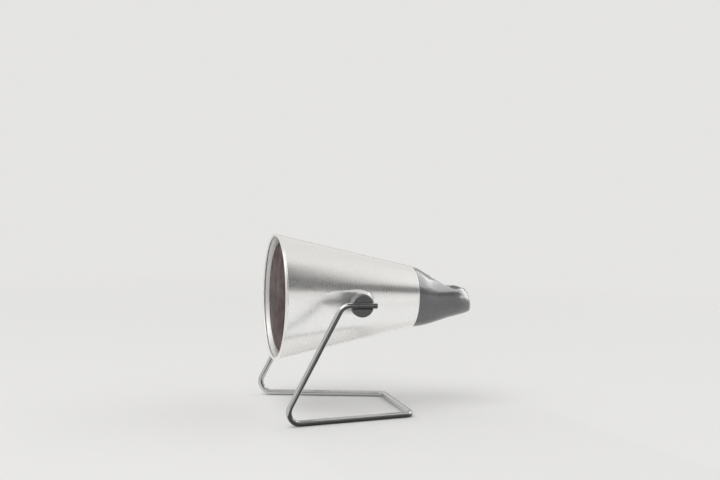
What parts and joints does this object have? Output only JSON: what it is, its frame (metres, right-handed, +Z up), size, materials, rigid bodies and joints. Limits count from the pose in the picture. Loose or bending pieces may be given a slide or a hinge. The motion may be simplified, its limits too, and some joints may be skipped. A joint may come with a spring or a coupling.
{
  "type": "infrared heat therapy lamp",
  "caption": "Table infrared heat lamp: conical metal shade with a moulded rear cap and reflector bulb, tilting between side knobs on a bent wire stand.",
  "frame": {"origin": "on the floor, under the middle of the lamp's outline", "axes": "+Z up, -Y the way the shade's mouth faces at rest, +X along the tilt axis"},
  "size_m": [0.1764, 0.2288, 0.1965],
  "materials": {
    "shade": "satin spun and lacquered",
    "cap_plastic": "semi-gloss moulded, dark grey",
    "knob_plastic": "moulded, near black",
    "chrome_wire": "bright chrome plate",
    "steel": "zinc plated",
    "spring_steel": "hardened, oiled",
    "fibre": "vulcanised fibre, dark grey, dull",
    "brass": "plain brass",
    "nickel": "nickel plate",
    "porcelain": "white glazed porcelain",
    "shield": "bright sheet",
    "rubber": "soft, black",
    "ruby_glass": "dark ruby pressed glass",
    "mirrored_glass": "pressed glass with an aluminised inside",
    "insulator": "black vitrite glass",
    "tungsten": "grey tungsten and molybdenum wire"
  },
  "bodies": {
    "stand": {"stand_wire": "chrome_wire", "knob_left": "knob_plastic", "knob_right": "knob_plastic", "knob_inserts": "brass", "pivot_screws": "steel", "friction_washers": "fibre", "flat_washers": "steel", "spring_washers": "spring_steel"},
    "head": {"shade": "shade", "rear_cap": "cap_plastic", "cord_bush": "rubber", "heat_shield": "shield", "lampholder_bracket": "steel", "bracket_screws": "steel", "bracket_nuts": "steel", "cap_screws": "steel", "lampholder_body": "porcelain", "lampholder_sleeve": "nickel", "lampholder_contact": "brass", "holder_screws": "steel", "terminal_screws": "brass", "earth_screw": "brass"},
    "bulb": {"bulb_reflector": "mirrored_glass", "bulb_lens": "ruby_glass", "bulb_skirt": "nickel", "bulb_screw_cap": "nickel", "bulb_insulator": "insulator", "bulb_contact": "brass", "bulb_filament": "tungsten", "filament_leads": "tungsten"}
  },
  "joints": [
    {"name": "head_tilt", "type": "hinge", "parent": "stand", "child": "head", "pos_m": [0, -0.03564, 0.1265], "axis": [1, 0, 0], "range_deg": [-45, 60]},
    {"name": "bulb_out", "type": "slide", "parent": "head", "child": "bulb", "axis": [0, -1, 0], "range_m": [0, 0.03]}
  ]
}
